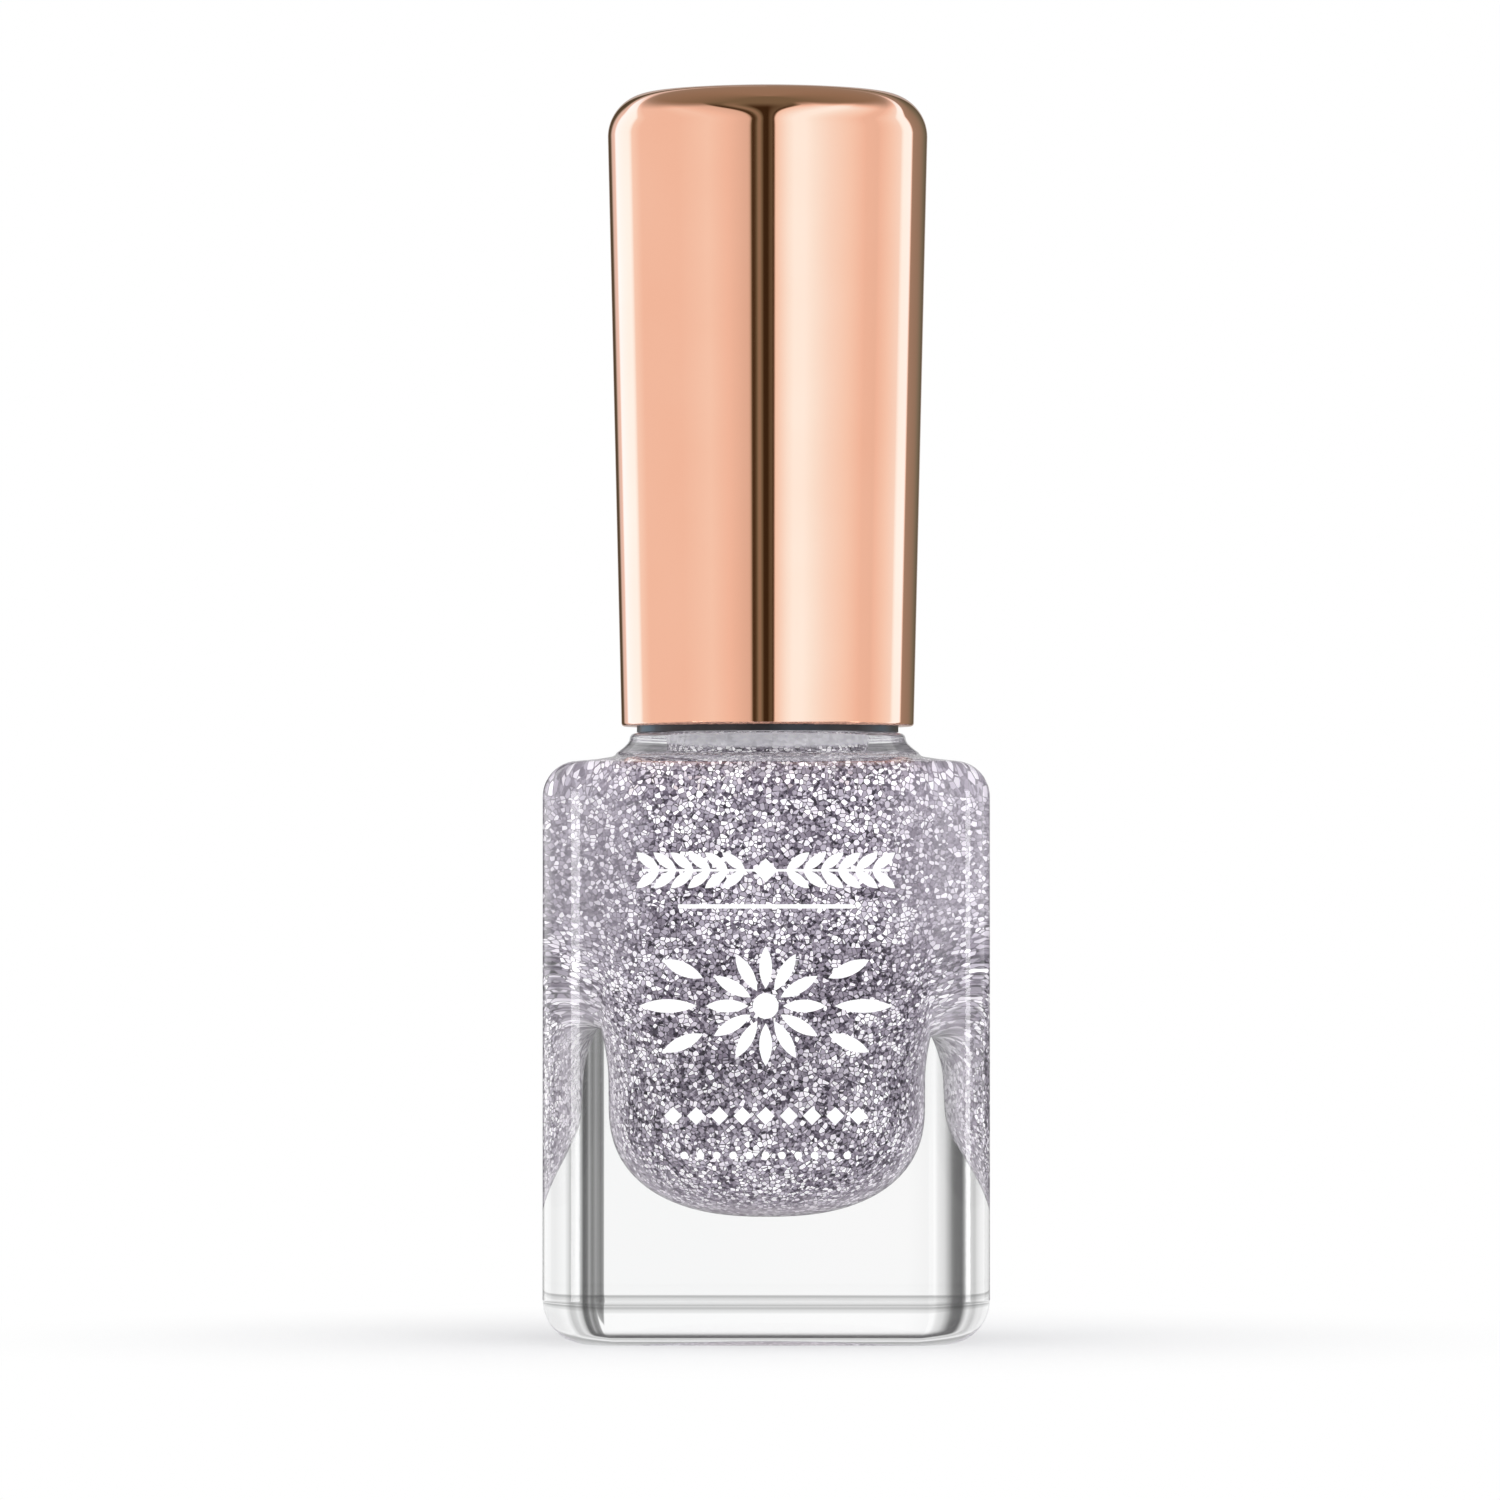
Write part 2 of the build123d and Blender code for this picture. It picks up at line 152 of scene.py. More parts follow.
# Mesh detail: steps round or along each kind of surface
CORNER_STEPS = 14
SIDE_STEPS = 6
WALL_STEPS = 4
EDGE_STEPS = 12
COLLAR_STEPS = 5
FILLET_STEPS = 4
LIP_STEPS = 6
NECK_STEPS = 90
ROOF_STEPS = 8
CAVITY_STEPS = 70
CAVITY_CROWDING = 1.7
CAP_STEPS = 160
CAP_WALL_STEPS = 6
CAP_CORNER_STEPS = 28
CAP_DOME_STEPS = 8
TABLE_STEPS = 96


# ---------------------------------------------------------------- mesh helpers

def square_ring(half, corner):
    """(x, y, normal x, normal y) round a rounded square, anticlockwise from the +X side."""
    ring = []
    centre = half - corner
    for quarter in range(4):
        turn = quarter * math.pi / 2
        cos_turn, sin_turn = math.cos(turn), math.sin(turn)
        local = []
        for step in range(CORNER_STEPS + 1):
            angle = math.pi / 2 * step / CORNER_STEPS
            nx, ny = math.cos(angle), math.sin(angle)
            local.append((centre + corner * nx, centre + corner * ny, nx, ny))
        for step in range(1, SIDE_STEPS):
            local.append((centre * (1 - 2 * step / SIDE_STEPS), half, 0.0, 1.0))
        for x, y, nx, ny in local:
            ring.append((x * cos_turn - y * sin_turn, x * sin_turn + y * cos_turn,
                         nx * cos_turn - ny * sin_turn, nx * sin_turn + ny * cos_turn))
    return ring


BODY_ANGLES = [math.atan2(y, x) for x, y, nx, ny in square_ring(BODY_HALF, CORNER_RADIUS)]
CAP_ANGLES = [2 * math.pi * i / CAP_STEPS for i in range(CAP_STEPS)]


def circle_ring(radius, angles=BODY_ANGLES):
    """(x, y, normal x, normal y) round a circle at the given angles."""
    return [(radius * math.cos(a), radius * math.sin(a), math.cos(a), math.sin(a)) for a in angles]


def row(ring, z, tilt=None, corner_lean=0.0):
    """One level of a skin; tilt is the normal's angle above the horizon, or None to average it.

    A corner_lean above zero tilts it further round corners that shrink slower than the ring.
    """
    points = []
    for x, y, nx, ny in ring:
        normal = None
        if tilt is not None:
            level = math.cos(math.radians(tilt))
            rise = math.sin(math.radians(tilt)) * (1 + corner_lean * (abs(nx) + abs(ny) - 1))
            normal = Vector((nx * level, ny * level, rise)).normalized()
        points.append((Vector((x, y, z)), normal))
    return points


def skin(name, rows, start, end):
    """A closed mesh over rows of equal length, with a centre point at each end."""
    verts = [Vector((0, 0, start))]
    normals = [None]
    faces = []
    count = len(rows[0])
    for level in rows:
        for point, normal in level:
            verts.append(point)
            normals.append(normal)
    verts.append(Vector((0, 0, end)))
    normals.append(None)
    last = len(verts) - 1
    top = 1 + (len(rows) - 1) * count
    for i in range(count):
        j = (i + 1) % count
        faces.append((0, 1 + j, 1 + i))
        for r in range(len(rows) - 1):
            low = 1 + r * count
            high = low + count
            faces.append((low + i, low + j, high + j, high + i))
        faces.append((top + i, top + j, last))
    return make_mesh(name, verts, faces, normals)


def make_mesh(name, verts, faces, normals=None):
    """A smooth mesh object from millimetre points, with exact normals where they are given."""
    mesh = bpy.data.meshes.new(name)
    mesh.from_pydata([v * MM for v in verts], [], faces)
    mesh.polygons.foreach_set("use_smooth", [True] * len(mesh.polygons))
    mesh.update()
    if normals:
        averaged = [v.normal.copy() for v in mesh.vertices]
        chosen = [n if n is not None else a for n, a in zip(normals, averaged)]
        mesh.normals_split_custom_set_from_vertices(chosen)
    piece = bpy.data.objects.new(name, mesh)
    bpy.context.scene.collection.objects.link(piece)
    return piece


def spread(start, stop, steps):
    """Evenly spaced values from start to stop, both included."""
    return [start + (stop - start) * i / steps for i in range(steps + 1)]


def smooth_step(share):
    """0 below 0 and 1 above 1, with a smooth S-shaped rise between."""
    share = min(max(share, 0.0), 1.0)
    return share * share * (3.0 - 2.0 * share)


# ---------------------------------------------------------------- bottle and polish

def base_rows():
    """From the shallow recess under the bottle, across the standing ring, to the wall."""
    flat_half = BODY_HALF - BASE_ROUNDING
    flat_corner = CORNER_RADIUS - BASE_ROUNDING * BASE_CORNER_SHRINK
    rows = [
        row(circle_ring(RECESS_RADIUS / 2), RECESS_DEPTH, -90),
        row(circle_ring(RECESS_RADIUS - RECESS_EDGE), RECESS_DEPTH, -90),
        row(circle_ring(RECESS_RADIUS - RECESS_EDGE / 2), RECESS_DEPTH / 2, RECESS_EDGE_TILT),
        row(circle_ring(RECESS_RADIUS), 0.0, -90),
        row(square_ring(flat_half - STANDING_MARGIN, flat_corner), 0.0, -90),
    ]
    for tilt in spread(-90, 0, EDGE_STEPS):
        angle = math.radians(tilt)
        inset = BASE_ROUNDING * (1 - math.cos(angle))
        ring = square_ring(BODY_HALF - inset, CORNER_RADIUS - inset * BASE_CORNER_SHRINK)
        rows.append(row(ring, BASE_ROUNDING * (1 + math.sin(angle)), tilt, 1 - BASE_CORNER_SHRINK))
    return rows


def shoulder_rows():
    """Up the flat wall and over the rounded edge, where the slope to the collar begins."""
    top_tilt = 90 - SHOULDER_SLOPE
    top_angle = math.radians(top_tilt)
    slope_run = BODY_HALF - SHOULDER_ROUNDING * (1 - math.cos(top_angle)) - COLLAR_BASE_RADIUS
    edge_z = SHOULDER_TOP_Z - slope_run * math.tan(math.radians(SHOULDER_SLOPE))
    centre_z = edge_z - SHOULDER_ROUNDING * math.sin(top_angle)
    wall_heights = spread(BASE_ROUNDING, centre_z, WALL_STEPS)[1:-1]
    rows = [row(square_ring(BODY_HALF, CORNER_RADIUS), z, 0) for z in wall_heights]
    for tilt in spread(0, top_tilt, EDGE_STEPS):
        angle = math.radians(tilt)
        inset = SHOULDER_ROUNDING * (1 - math.cos(angle))
        ring = square_ring(BODY_HALF - inset, CORNER_RADIUS - inset)
        rows.append(row(ring, centre_z + SHOULDER_ROUNDING * math.sin(angle), tilt))
    return rows


def collar_rows():
    """The fillet at the shoulder, the waisted collar wall and its rounded top."""
    rows = []
    for tilt in spread(90 - SHOULDER_SLOPE, COLLAR_LOW_TILT, COLLAR_STEPS):
        angle = math.radians(tilt)
        low_radius = COLLAR_BASE_RADIUS + COLLAR_FILLET * (1 - math.cos(angle))
        low_z = SHOULDER_TOP_Z + COLLAR_FILLET * (1 - math.sin(angle))
        rows.append(row(circle_ring(low_radius), low_z, tilt))
    high_angle = math.radians(COLLAR_HIGH_TILT)
    high_z = COLLAR_TOP_Z - COLLAR_ROUNDING * (1 - math.sin(high_angle))
    for share in spread(0, 1, COLLAR_STEPS)[1:-1]:
        radius = low_radius + (COLLAR_TOP_RADIUS - low_radius) * math.sin(share * math.pi / 2)
        tilt = COLLAR_LOW_TILT + (COLLAR_HIGH_TILT - COLLAR_LOW_TILT) * share
        rows.append(row(circle_ring(radius), low_z + (high_z - low_z) * share, tilt))
    for tilt in spread(COLLAR_HIGH_TILT, 90, LIP_STEPS):
        angle = math.radians(tilt)
        radius = COLLAR_TOP_RADIUS - COLLAR_ROUNDING * (math.cos(high_angle) - math.cos(angle))
        z = COLLAR_TOP_Z - COLLAR_ROUNDING * (1 - math.sin(angle))
        rows.append(row(circle_ring(radius), z, tilt))
    return rows


def thread_bulge(angle, z):
    """How far the neck's thread stands out at an angle and height."""
    share = (angle % (2 * math.pi)) / (2 * math.pi)
    turn = round((z - THREAD_START_Z) / THREAD_PITCH - share)
    along = turn + share
    if along < 0 or along > THREAD_TURNS:
        return 0.0
    away = abs(z - THREAD_START_Z - along * THREAD_PITCH)
    run_out = min(along, THREAD_TURNS - along) / THREAD_RUN_OUT
    return THREAD_HEIGHT * smooth_step(THREAD_ROOT - away / THREAD_HALF_WIDTH) * smooth_step(run_out)


def thread_row(z):
    """One level of the neck, with the thread standing out of it."""
    ring = []
    for angle in BODY_ANGLES:
        radius = NECK_RADIUS + thread_bulge(angle, z)
        ring.append((radius * math.cos(angle), radius * math.sin(angle), 0.0, 0.0))
    return row(ring, z)


def neck_rows():
    """Across the collar's top, up the threaded neck and over the rim."""
    rows = [row(circle_ring(NECK_RADIUS + NECK_FOOT), COLLAR_TOP_Z, 90)]
    for tilt in spread(90, 0, FILLET_STEPS)[1:]:
        angle = math.radians(tilt)
        radius = NECK_RADIUS + NECK_FILLET * (1 - math.cos(angle))
        rows.append(row(circle_ring(radius), COLLAR_TOP_Z + NECK_FILLET * (1 - math.sin(angle)), tilt))
    for z in spread(COLLAR_TOP_Z + THREAD_LOW_MARGIN, RIM_Z - THREAD_HIGH_MARGIN, NECK_STEPS):
        rows.append(thread_row(z))
    for tilt in spread(0, 90, LIP_STEPS):
        angle = math.radians(tilt)
        radius = NECK_RADIUS - RIM_ROUNDING * (1 - math.cos(angle))
        rows.append(row(circle_ring(radius), RIM_Z - RIM_ROUNDING * (1 - math.sin(angle)), tilt))
    for tilt in spread(90, 180, LIP_STEPS):
        angle = math.radians(tilt)
        radius = BORE_RADIUS + RIM_ROUNDING * (1 + math.cos(angle))
        rows.append(row(circle_ring(radius), RIM_Z - RIM_ROUNDING * (1 - math.sin(angle)), tilt))
    return rows


def cavity_half_width(height):
    """Half the width of the cavity at a height above its floor."""
    bowl_share = 1.0 - max(1.0 - height / BOWL_HEIGHT, 0.0) ** BOWL_POWER
    flare_share = smooth_step((height - FLARE_START) / (FLARE_HEIGHT - FLARE_START))
    return BOWL_HALF_WIDTH * bowl_share ** (1.0 / BOWL_POWER) + FLARE * flare_share


def cavity_rows(growth):
    """The cavity's wall from its roof down to its floor, moved out by growth."""
    top_half = cavity_half_width(FLARE_HEIGHT) + growth
    corner = TOP_ROUNDNESS * top_half
    rows = [
        row(circle_ring(BORE_RADIUS + growth), ROOF_Z + BORE_FILLET),
        row(circle_ring(BORE_RADIUS + growth + BORE_FILLET), ROOF_Z + growth),
    ]
    for tilt in spread(90, 0, ROOF_STEPS):
        angle = math.radians(tilt)
        inset = ROOF_ROUNDING * (1 - math.cos(angle))
        z = ROOF_Z + growth - ROOF_ROUNDING * (1 - math.sin(angle))
        rows.append(row(square_ring(top_half - inset, corner - inset), z))
    top_height = ROOF_Z - ROOF_ROUNDING - CAVITY_FLOOR_Z
    for step in range(1, CAVITY_STEPS):
        # The levels crowd together towards the floor, where the bowl turns in.
        height = top_height * (1 - step / CAVITY_STEPS) ** CAVITY_CROWDING
        half = cavity_half_width(height) + growth
        squaring = smooth_step(height / FLARE_HEIGHT)
        roundness = BOTTOM_ROUNDNESS + (TOP_ROUNDNESS - BOTTOM_ROUNDNESS) * squaring
        rows.append(row(square_ring(half, roundness * half), CAVITY_FLOOR_Z + height - growth))
    return rows


def glass_mesh():
    """The whole bottle: outside up to the rim, then down the bore and round the cavity."""
    rows = base_rows() + shoulder_rows() + collar_rows() + neck_rows() + cavity_rows(0.0)
    return skin("glass_bottle_clear", rows, RECESS_DEPTH, CAVITY_FLOOR_Z)


def polish_mesh():
    """The polish up to its level; it wets the glass, so it reaches slightly into it."""
    rows = [
        row(circle_ring(POLISH_MIDDLE), POLISH_LEVEL_Z, 90),
        row(circle_ring(BORE_RADIUS - CREEP_WIDTH), POLISH_LEVEL_Z, 90),
        row(circle_ring(BORE_RADIUS + POLISH_OVERLAP), POLISH_LEVEL_Z + CREEP_RISE),
    ]
    rows += cavity_rows(POLISH_OVERLAP)
    return skin("glitter_polish", rows, POLISH_LEVEL_Z, CAVITY_FLOOR_Z - POLISH_OVERLAP)


# ---------------------------------------------------------------- cap and brush

def cap_profile(inset, low_z):
    """(radius, height, tilt) up the cap's wall, round its corner and over its dome, and its top."""
    wall_height = CAP_CORNER_Z - CAP_LOW.z
    widening = CAP_TOP_RADIUS - CAP_BOTTOM_RADIUS
    taper = math.degrees(math.atan2(widening, wall_height))
    profile = []
    for z in spread(low_z, CAP_CORNER_Z, CAP_WALL_STEPS):
        share = (z - CAP_LOW.z) / wall_height
        profile.append((CAP_BOTTOM_RADIUS + widening * share - inset, z, -taper))
    centre = CAP_TOP_RADIUS - CAP_CORNER_RADIUS
    radius = CAP_CORNER_RADIUS - inset
    for tilt in spread(0, 90 - CAP_DOME_SLOPE, CAP_CORNER_STEPS):
        angle = math.radians(tilt)
        profile.append((centre + radius * math.cos(angle), CAP_CORNER_Z + radius * math.sin(angle), tilt))
    # The dome is a large sphere that meets the corner without a crease.
    slope = math.radians(CAP_DOME_SLOPE)
    reach = centre / math.sin(slope)
    sphere_z = CAP_CORNER_Z - reach * math.cos(slope)
    sphere_radius = reach + radius
    for tilt in spread(90 - CAP_DOME_SLOPE, 90, CAP_DOME_STEPS)[1:-1]:
        angle = math.radians(tilt)
        profile.append((sphere_radius * math.cos(angle), sphere_z + sphere_radius * math.sin(angle), tilt))
    return profile, sphere_z + sphere_radius


def cap_mesh():
    """The metallised shell: inside from the top down, rolled rim, outside up to the dome."""
    inner, inner_top = cap_profile(CAP_WALL, CAP_LOW.z + CAP_RIM_ROUNDING)
    outer, outer_top = cap_profile(0.0, CAP_LOW.z + CAP_RIM_ROUNDING)
    inner_middle = inner[0][0] + CAP_RIM_ROUNDING
    outer_middle = outer[0][0] - CAP_RIM_ROUNDING
    rim = [(inner_middle, tilt) for tilt in spread(-180, -90, LIP_STEPS)[1:]]
    rim += [(outer_middle, tilt) for tilt in spread(-90, 0, LIP_STEPS)[:-1]]

    rows = [row(circle_ring(r, CAP_ANGLES), z, tilt - 180) for r, z, tilt in reversed(inner)]
    for middle, tilt in rim:
        angle = math.radians(tilt)
        radius = middle + CAP_RIM_ROUNDING * math.cos(angle)
        z = CAP_LOW.z + CAP_RIM_ROUNDING * (1 + math.sin(angle))
        rows.append(row(circle_ring(radius, CAP_ANGLES), z, tilt))
    rows += [row(circle_ring(r, CAP_ANGLES), z, tilt) for r, z, tilt in outer]
    return skin("outer_cap_shell", rows, inner_top, outer_top)


def tuft_width(along):
    """Width of the tuft compared with its root, at a share of the way to its tip."""
    belly = math.sin(math.pi * min(along * TUFT_BELLY_END, 1.0)) ** TUFT_BELLY_POWER
    return 1.0 + TUFT_SWELL * belly + TUFT_SPREAD * along


def filament_faces(first):
    """The sides and both ends of one bristle whose points start at first."""
    faces = []
    for step in range(BRISTLE_STEPS - 1):
        for side in range(BRISTLE_SIDES):
            a = first + step * BRISTLE_SIDES + side
            b = first + step * BRISTLE_SIDES + (side + 1) % BRISTLE_SIDES
            faces.append((a, a + BRISTLE_SIDES, b + BRISTLE_SIDES, b))
    tip = first + (BRISTLE_STEPS - 1) * BRISTLE_SIDES
    faces.append([first + side for side in range(BRISTLE_SIDES)])
    faces.append([tip + side for side in reversed(range(BRISTLE_SIDES))])
    return faces


def bristle_mesh():
    """Separate filaments that spread from the stem and close to a rounded tip."""
    draw = random.Random(BRISTLE_SEED)
    root_z = STEM_LOW.z + BRISTLE_ROOT_DEPTH
    verts, faces = [], []
    for index in range(BRISTLE_COUNT):
        share = math.sqrt((index + 0.5) / BRISTLE_COUNT)
        angle = index * GOLDEN_ANGLE + draw.uniform(-BRISTLE_SCATTER, BRISTLE_SCATTER)
        end_z = TUFT_LOW.z + TUFT_TIP_HEIGHT * share ** 3 + draw.uniform(0.0, TUFT_UNEVENNESS)
        wander = Vector((draw.uniform(-1, 1), draw.uniform(-1, 1), 0)) * BRISTLE_WANDER
        faces += filament_faces(len(verts))
        for step in range(BRISTLE_STEPS):
            along = step / (BRISTLE_STEPS - 1)
            reach = TUFT_ROOT_RADIUS * share * tuft_width(along)
            z = root_z + (end_z - root_z) * along
            centre = Vector((reach * math.cos(angle), reach * math.sin(angle), z)) + wander * along
            thickness = BRISTLE_RADIUS * (1.0 if along < BRISTLE_TAPER_START else BRISTLE_TAPER)
            for side in range(BRISTLE_SIDES):
                turn = 2 * math.pi * side / BRISTLE_SIDES
                verts.append(centre + Vector((math.cos(turn), math.sin(turn), 0)) * thickness)
    return make_mesh("bristle_filaments", verts, faces)


# ---------------------------------------------------------------- material helpers

class Shader:
    """A thin wrapper that adds nodes to a material or world and links their sockets."""

    def __init__(self, owner):
        owner.use_nodes = True
        self.tree = owner.node_tree
        self.tree.nodes.clear()

    def add(self, kind, inputs=None, **settings):
        """A node with its settings made and its inputs linked or filled in."""
        node = self.tree.nodes.new(kind)
        for key, value in settings.items():
            setattr(node, key, value)
        for key, value in (inputs or {}).items():
            if isinstance(value, bpy.types.NodeSocket):
                self.tree.links.new(value, node.inputs[key])
            else:
                node.inputs[key].default_value = value
        return node

    def math(self, operation, a, b=0.0, clamp=False):
        """One arithmetic step on one or two values."""
        node = self.add("ShaderNodeMath", {0: a, 1: b}, operation=operation, use_clamp=clamp)
        return node.outputs[0]

    def vector(self, operation, a, b=(0.0, 0.0, 0.0)):
        """One arithmetic step on one or two vectors."""
        return self.add("ShaderNodeVectorMath", {0: a, 1: b}, operation=operation).outputs[0]

    def ramp(self, factor, stops):
        """Straight-line blends between (position, brightness or colour) stops."""
        node = self.add("ShaderNodeValToRGB", {0: factor})
        elements = node.color_ramp.elements
        while len(elements) < len(stops):
            elements.new(0.5)
        for element, (position, colour) in zip(elements, stops):
            element.position = position
            element.color = (*colour, 1.0) if isinstance(colour, tuple) else (colour, colour, colour, 1.0)
        return node.outputs[0]

    def scaled_ramp(self, value, span, stops):
        """A ramp whose positions are in the value's own unit, from 0 to span."""
        shares = [(position / span, level) for position, level in stops]
        return self.ramp(self.math("DIVIDE", value, span), shares)

    def rise(self, value, start, stop, low=0.0, high=1.0):
        """An S-shaped change from low to high while the value goes from start to stop."""
        limits = {"Value": value, "From Min": start, "From Max": stop, "To Min": low, "To Max": high}
        return self.add("ShaderNodeMapRange", limits, interpolation_type="SMOOTHSTEP").outputs[0]

    def mix(self, factor, a, b, blend="MIX"):
        """A blend of two colours, each a socket or an (r, g, b) tuple."""
        node = self.add("ShaderNodeMix", data_type="RGBA", blend_type=blend)
        for key, value in ((0, factor), (6, a), (7, b)):
            if isinstance(value, bpy.types.NodeSocket):
                self.tree.links.new(value, node.inputs[key])
            elif isinstance(value, tuple):
                node.inputs[key].default_value = (*value, 1.0)
            else:
                node.inputs[key].default_value = value
        return node.outputs[2]

    def multiply(self, colour, factor):
        """A colour darkened by another colour or value."""
        return self.mix(1.0, colour, factor, "MULTIPLY")

    def mix_value(self, factor, a, b):
        """A blend of two plain values."""
        return self.add("ShaderNodeMix", {0: factor, 2: a, 3: b}, data_type="FLOAT").outputs[0]

    def mix_surface(self, factor, a, b):
        """A blend of two surface shaders."""
        surfaces = {0: factor, 1: a.outputs[0], 2: b.outputs[0]}
        return self.add("ShaderNodeMixShader", surfaces)

    def object_mm(self):
        """Object coordinates in millimetres."""
        place = self.add("ShaderNodeTexCoord").outputs["Object"]
        return self.vector("MULTIPLY", place, (1 / MM,) * 3)

    def noise(self, place, scale, detail=2.0):
        """Smooth noise between 0 and 1; scale is in waves per millimetre."""
        texture = self.add("ShaderNodeTexNoise", {"Vector": place, "Scale": scale, "Detail": detail})
        return texture.outputs["Fac"]

    def cells(self, place, size, feature="F1"):
        """Random cells of about the given size."""
        return self.add("ShaderNodeTexVoronoi", {"Vector": place, "Scale": 1 / size}, feature=feature)

    def bump(self, height, strength, distance):
        """A surface normal that follows a height; distance is in millimetres."""
        relief = {"Height": height, "Strength": strength, "Distance": distance * MM}
        return self.add("ShaderNodeBump", relief).outputs[0]

    def output(self, surface):
        """Send a surface shader to the material."""
        self.add("ShaderNodeOutputMaterial", {"Surface": surface.outputs[0]})


def new_material(name):
    """An empty material and the wrapper that fills it."""
    material = bpy.data.materials.new(name)
    return material, Shader(material)


def rose_gold_material():
    """Mirror-bright rose-gold metallising, slightly uneven in colour and polish."""
    material, s = new_material("rose_gold_metallised")
    place = s.object_mm()
    shade = s.ramp(s.noise(place, 0.12, 3.0), [(0.3, (0.95, 0.535, 0.365)), (0.7, (0.96, 0.56, 0.39))])
    roughness = s.math("ADD", s.math("MULTIPLY", s.noise(place, 1.5), 0.02), 0.03)
    s.output(s.add("ShaderNodeBsdfPrincipled", {
        "Base Color": shade, "Metallic": 1.0, "Roughness": roughness}))
    return material


def glass_material():
    """Clear pressed glass; light reaches the polish and floor straight through it."""
    material, s = new_material("clear_bottle_glass")
    place = s.object_mm()
    waves = s.bump(s.noise(place, 0.1, 0.0), 0.03, 0.4)
    tint = s.ramp(s.noise(place, 0.05, 1.0), [(0.3, (0.985, 0.99, 0.99)), (0.7, (1.0, 1.0, 1.0))])
    glass = s.add("ShaderNodeBsdfGlass", {"Color": tint, "Roughness": 0.0, "IOR": 1.5, "Normal": waves})
    clear = s.add("ShaderNodeBsdfTransparent", {"Color": (0.97, 0.97, 0.97, 1.0)})
    path = s.add("ShaderNodeLightPath")
    straight = s.math("MAXIMUM", path.outputs["Is Shadow Ray"], path.outputs["Is Diffuse Ray"])
    s.output(s.mix_surface(straight, glass, clear))
    return material


# Glitter: sizes of the large flakes and of the dust between them
FLAKE_SIZE = 0.27
DUST_SIZE = 0.15
# Heights in the bottle at which the look of the polish changes
LOOK_SPAN = 40.0
# The polish is darker below its top, most of all about 15 mm up.
DIMMING_BY_HEIGHT = [(8.8, 0.88), (15.2, 0.80), (24.0, 0.95), (31.2, 1.0)]
HEM = [(7.6, 0.75), (8.24, 0.0)]
FILM = [(34.32, 0.0), (34.64, 1.0)]
# The product of the distances from the two middle planes is largest at the upright corners.
CORNER_SPAN = 120.0
CORNER_CALM = [(74.4, 0.0), (100.8, 0.5)]


def lacquer_ground(s, place, drift, present):
    """Fine glitter dust between the flakes, with painted shade where a large flake stands over it."""
    dust = s.add("ShaderNodeSeparateColor", {0: s.cells(place, DUST_SIZE).outputs["Color"]})
    ground = s.ramp(s.math("ADD", dust.outputs[0], drift, clamp=True), [
        (0.0, (0.022, 0.015, 0.028)),
        (0.35, (0.125, 0.10, 0.145)),
        (0.7, (0.36, 0.31, 0.39)),
        (1.0, (0.70, 0.64, 0.75)),
    ])
    # Painted shade: the dust is darkened where a large flake stands over it.
    return s.multiply(ground, s.math("SUBTRACT", 1.0, s.math("MULTIPLY", present, 0.55)))


def flake_tone_and_glints(s, level):
    """Colour of a large flake by its level: the flakes' silver differs at random, and the brightest are
    painted near-white as painted glints.
    """
    return s.ramp(level, [
        (0.0, (0.36, 0.31, 0.39)),
        (0.3, (0.64, 0.58, 0.68)),
        (0.55, (0.93, 0.87, 0.95)),
        (1.0, (1.0, 0.98, 1.0)),
    ])


def flake_normal(s, cells):
    """The surface normal, leaned at random for each flake."""
    normal = s.add("ShaderNodeNewGeometry").outputs["Normal"]
    lean = s.vector("MULTIPLY", s.vector("SUBTRACT", cells, (0.5, 0.5, 0.5)), (0.9, 0.9, 0.9))
    return s.vector("NORMALIZE", s.vector("ADD", normal, lean))


def bowl_shading(s, colour, height, calm):
    """The polish's colour changed by height, by its corners, and by painted sheen and a painted dark
    contour where it is seen at a slant.
    """
    # Darker below the top of the polish, by height.
    colour = s.multiply(colour, s.scaled_ramp(height, LOOK_SPAN, DIMMING_BY_HEIGHT))
    # Thin lacquer shows pinkish at the very bottom of the bowl.
    colour = s.mix(s.scaled_ramp(height, LOOK_SPAN, HEM), colour, (0.52, 0.45, 0.50))
    # Painted sheen: the polish is paler where it is seen at a slant near the bowl's outline, with a
    # painted dark contour on it.
    grazing = s.add("ShaderNodeLayerWeight", {"Blend": 0.5}).outputs["Facing"]
    colour = s.mix(s.ramp(grazing, [(0.45, 0.0), (0.80, 0.6)]), colour, (0.52, 0.47, 0.54))
    # The upright corners look calmer, as the glass spreads them wide.
    colour = s.mix(calm, colour, (0.47, 0.425, 0.50))
    # Painted shade: a dark contour where the polish is seen edge-on.
    return s.multiply(colour, s.ramp(grazing, [(0.80, 1.0), (0.97, 0.25)]))


